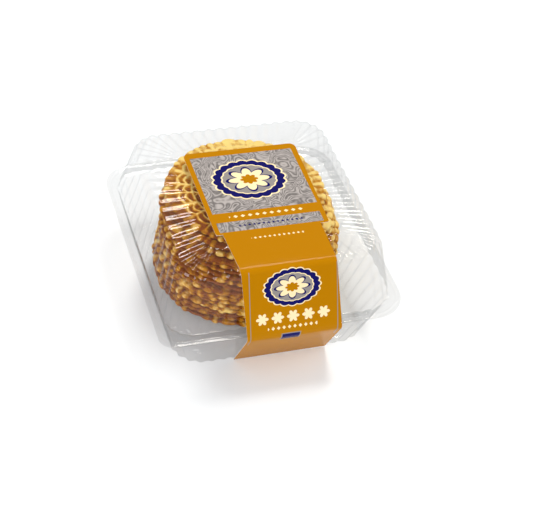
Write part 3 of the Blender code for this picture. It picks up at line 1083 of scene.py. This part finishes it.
def printed_paper(shoulder_at, edge_at):
    """Gloss-varnished label paper, printed in flat inks: a silver panel and ornaments on orange."""
    looks = settings().label
    material, tree, output = new_material("gloss_printed_label_paper")
    place = add_node(tree, "UVMap", {"uv_map": "label_mm"})
    parts = add_node(tree, "SeparateXYZ", None, {0: place.outputs[0]})
    across, along = parts.outputs[0], parts.outputs[1]
    # Marbled ground of the silver fields: wide curls of parallel bands, streaked with fine veins
    curls = add_node(tree, "TexNoise", {"noise_dimensions": "2D"},
                     {"Vector": place.outputs[0], "Scale": 1 / CURL_WIDTH, "Detail": 0.0,
                      "Distortion": 1.0})
    bands = add_node(tree, "Math", {"operation": "PINGPONG"},
                     {0: curls.outputs["Fac"], 1: 0.07})
    veins = add_node(tree, "TexNoise", {"noise_dimensions": "2D"},
                     {"Vector": place.outputs[0], "Scale": 1 / VEIN_WIDTH, "Detail": 1.0})
    streaked = add_node(tree, "Math", {"operation": "MULTIPLY_ADD"},
                        {0: veins.outputs["Fac"], 1: 0.04, 2: bands.outputs[0]})
    marbling = add_node(tree, "ValToRGB", None, {"Fac": streaked.outputs[0]})
    stops = marbling.color_ramp.elements
    stops[0].position, stops[0].color = 0.028, (*(0.6 * c for c in looks.silver), 1.0)
    stops[1].position, stops[1].color = 0.085, (*(1.6 * c for c in looks.silver), 1.0)
    stops.new(0.05).color = (*looks.silver, 1.0)
    layers = print_layers(tree, across, along, shoulder_at / MM, edge_at / MM,
                          marbling.outputs["Color"])
    ink = looks.ground
    for mask, paint in layers:
        top = paint if isinstance(paint, bpy.types.NodeSocket) else (*paint, 1.0)
        under = ink if isinstance(ink, bpy.types.NodeSocket) else (*ink, 1.0)
        ink = add_node(tree, "Mix", {"data_type": "RGBA"},
                       {0: mask, MIX_A: under, MIX_B: top}).outputs[MIX_RESULT]
    # The sheet's own waviness, under the varnish
    waviness = add_node(tree, "TexNoise", {"noise_dimensions": "2D"},
                        {"Vector": place.outputs[0], "Scale": 1 / WAVE_LENGTH, "Detail": 2.0})
    bump = add_node(tree, "Bump", None,
                    {"Height": waviness.outputs["Fac"], "Strength": 0.2, "Distance": 0.001})
    paper = add_node(tree, "BsdfPrincipled", None,
                     {"Base Color": ink, "Roughness": 0.14, "Specular IOR Level": 0.06,
                      "Normal": bump.outputs["Normal"]})
    tree.links.new(paper.outputs[0], output.inputs["Surface"])
    return material


def label_back():
    """Uncoated white back of the label, with the soft tooth of paper fibres."""
    material, tree, output = new_material("uncoated_label_back")
    place = add_node(tree, "TexCoord")
    fibres = add_node(tree, "TexNoise", None,
                      {"Vector": place.outputs["Object"], "Scale": 1 / FIBRE_TOOTH, "Detail": 3.0})
    shades = add_node(tree, "ValToRGB", None, {"Fac": fibres.outputs["Fac"]})
    shades.color_ramp.elements[0].color = (*linear_colour("#DFDBD2"), 1.0)
    shades.color_ramp.elements[1].color = (*linear_colour("#F3F0E9"), 1.0)
    bump = add_node(tree, "Bump", None,
                    {"Height": fibres.outputs["Fac"], "Strength": 0.3, "Distance": 0.0001})
    paper = add_node(tree, "BsdfPrincipled", None,
                     {"Base Color": shades.outputs["Color"], "Roughness": 0.85,
                      "Specular IOR Level": 0.2, "Normal": bump.outputs["Normal"]})
    tree.links.new(paper.outputs[0], output.inputs["Surface"])
    return material


def map_print(label, flat):
    """Maps the print on the label: flat is each point's place across and along it."""
    layer = label.data.uv_layers.new(name="label_mm")
    corners = np.empty(len(label.data.loops), dtype=np.int32)
    label.data.loops.foreach_get("vertex_index", corners)
    layer.uv.foreach_set("vector", flat[corners].astype(np.float32).ravel())
    label.data.uv_layers.remove(label.data.uv_layers[0])
    label.data.uv_layers["label_mm"].active_render = True


class PIZZELLE_OT_label(bpy.types.Operator):
    """Lays the printed label over the lid and folds it down the front to the tray's foot"""

    bl_idname = "pizzelle.label"
    bl_label = "Paper Label"

    def execute(self, context):
        looks = settings().label
        route, along, shoulder_at, edge_at = label_route()
        left, right = label_edges(along, shoulder_at, edge_at)
        share = np.linspace(0.0, 1.0, LABEL_COLUMNS)
        across = mix(right[:, None], left[:, None], share[None, :])
        points = np.stack([across, np.broadcast_to(route[:, :1], across.shape),
                           np.broadcast_to(route[:, 1:], across.shape)], axis=2)
        label, row, column = grid_through("printed_label", points, loop=False)
        map_print(label, np.stack([across[row, column], along[row]], axis=1) / MM)
        sheet = label.modifiers.new("Paper", "SOLIDIFY")
        sheet.thickness = looks.thickness
        sheet.offset = 1.0
        sheet.material_offset = 1
        sheet.material_offset_rim = 1
        label.data.materials.append(printed_paper(shoulder_at, edge_at))
        label.data.materials.append(label_back())
        bpy.ops.object.modifier_apply(modifier=sheet.name)
        shade(label, LABEL_SMOOTHING)
        finish_piece(label, None, "printed_paper", "paper_band")
        return {"FINISHED"}


# ---------------------------------------------------------------- stage


FLOOR_SIZE = 8.0
SENSOR_WIDTH = 36.0
NEAREST_SEEN = 0.01
# The paper's tooth is drawn this coarse so that it can show at all
STUDIO_TOOTH = 1.11 * MM
SOFTBOX_AIM = (0.0, 0.0, 0.04)
# Name, place, width, depth, watts and colour of each softbox
SOFTBOXES = (
    ("key_softbox", (0.26, 0.40, 1.08), 0.26, 0.52, 7.5, "#FFFBF4"),
    ("fill_softbox", (-0.85, -1.05, 0.95), 1.0, 1.0, 17.0, "#FFFFFF"),
    ("side_softbox", (0.95, -0.05, 0.45), 0.5, 0.5, 1.9, "#FFFFFF"),
)


def studio_paper():
    """Matt background paper, with a faint tooth."""
    material, tree, output = new_material("matt_studio_paper")
    place = add_node(tree, "TexCoord")
    tooth = add_node(tree, "TexNoise", None,
                     {"Vector": place.outputs["Object"], "Scale": 1 / STUDIO_TOOTH})
    bump = add_node(tree, "Bump", None,
                    {"Height": tooth.outputs["Fac"], "Strength": 0.05, "Distance": 0.0002})
    paper = add_node(tree, "BsdfPrincipled", None,
                     {"Base Color": (*settings().studio.floor, 1.0), "Roughness": 0.9,
                      "Specular IOR Level": 0.1, "Normal": bump.outputs["Normal"]})
    tree.links.new(paper.outputs[0], output.inputs["Surface"])
    return material


def add_softbox(name, location, width, depth, power, colour_code):
    """A rectangular soft light, aimed at the pack."""
    deselect_all()
    bpy.ops.object.light_add(type="AREA", location=location)
    light = bpy.context.object
    light.name = name
    light.data.shape = "RECTANGLE"
    light.data.size, light.data.size_y = width, depth
    light.data.energy = power
    light.data.color = linear_colour(colour_code)
    way = Vector(SOFTBOX_AIM) - Vector(location)
    light.rotation_euler = way.to_track_quat("-Z", "Y").to_euler()


class PIZZELLE_OT_stage(bpy.types.Operator):
    """Sets the pale floor, the soft lights and the camera"""

    bl_idname = "pizzelle.stage"
    bl_label = "Studio Stage"

    def execute(self, context):
        studio = settings().studio
        deselect_all()
        bpy.ops.mesh.primitive_plane_add(size=FLOOR_SIZE, location=(0, 0, 0))
        floor = context.object
        floor.name = "studio_floor"
        floor.data.materials.append(studio_paper())
        world = bpy.data.worlds.new("studio_walls")
        world.use_nodes = True
        background = world.node_tree.nodes["Background"]
        background.inputs["Color"].default_value = (1.0, 1.0, 1.0, 1.0)
        background.inputs["Strength"].default_value = studio.world_strength
        context.scene.world = world
        context.scene.view_settings.view_transform = "Standard"
        for softbox in SOFTBOXES:
            add_softbox(*softbox)
        self.place_camera(context, studio)
        return {"FINISHED"}

    def place_camera(self, context, studio):
        """Sets the camera, turned, lifted and rolled as the settings say."""
        target = Vector((0.0, 0.0, studio.target_height))
        level = math.cos(studio.elevation)
        forward = Vector((math.sin(studio.turn) * level, math.cos(studio.turn) * level,
                          -math.sin(studio.elevation)))
        facing = forward.to_track_quat("-Z", "Y") @ Quaternion((0, 0, 1), studio.roll)
        deselect_all()
        bpy.ops.object.camera_add(location=target - forward * studio.distance,
                                  rotation=facing.to_euler())
        camera = context.object
        camera.name = "product_camera"
        camera.data.lens = studio.lens
        camera.data.sensor_width = SENSOR_WIDTH
        camera.data.shift_x = studio.shift
        camera.data.clip_start = NEAREST_SEEN
        context.scene.camera = camera


# ---------------------------------------------------------------- add-on


class PizzellePackSettings(bpy.types.PropertyGroup):
    """Everything that a user would change."""

    clamshell: bpy.props.PointerProperty(type=ClamshellSizes)
    wafers: bpy.props.PointerProperty(type=WaferLooks)
    label: bpy.props.PointerProperty(type=LabelLooks)
    studio: bpy.props.PointerProperty(type=StudioSetup)


OPERATORS = (
    PIZZELLE_OT_stage,
    PIZZELLE_OT_lid,
    PIZZELLE_OT_tray,
    PIZZELLE_OT_hinge,
    PIZZELLE_OT_wafers,
    PIZZELLE_OT_label,
)


class PIZZELLE_PT_panel(bpy.types.Panel):
    """Lists the pack's pieces in the sidebar."""

    bl_label = "Pizzelle Pack"
    bl_idname = "PIZZELLE_PT_panel"
    bl_space_type = "VIEW_3D"
    bl_region_type = "UI"
    bl_category = "Pizzelle Pack"

    def draw(self, context):
        for operator in OPERATORS:
            self.layout.operator(operator.bl_idname)
        for group in (settings().clamshell, settings().wafers, settings().label, settings().studio):
            box = self.layout.box()
            for name in group.__annotations__:
                box.prop(group, name)


CLASSES = (ClamshellSizes, WaferLooks, LabelLooks, StudioSetup, PizzellePackSettings,
           *OPERATORS, PIZZELLE_PT_panel)


def register():
    """Makes the settings, the operators and the panel known."""
    for item in CLASSES:
        bpy.utils.register_class(item)
    bpy.types.Scene.pizzelle_pack = bpy.props.PointerProperty(type=PizzellePackSettings)


def unregister():
    """Takes them away again."""
    del bpy.types.Scene.pizzelle_pack
    for item in reversed(CLASSES):
        bpy.utils.unregister_class(item)


def main():
    """Builds the stage and every piece, in order."""
    register()
    bpy.ops.pizzelle.stage()
    bpy.ops.pizzelle.lid()
    bpy.ops.pizzelle.tray()
    bpy.ops.pizzelle.hinge()
    bpy.ops.pizzelle.wafers()
    bpy.ops.pizzelle.label()


if __name__ == "__main__":
    main()
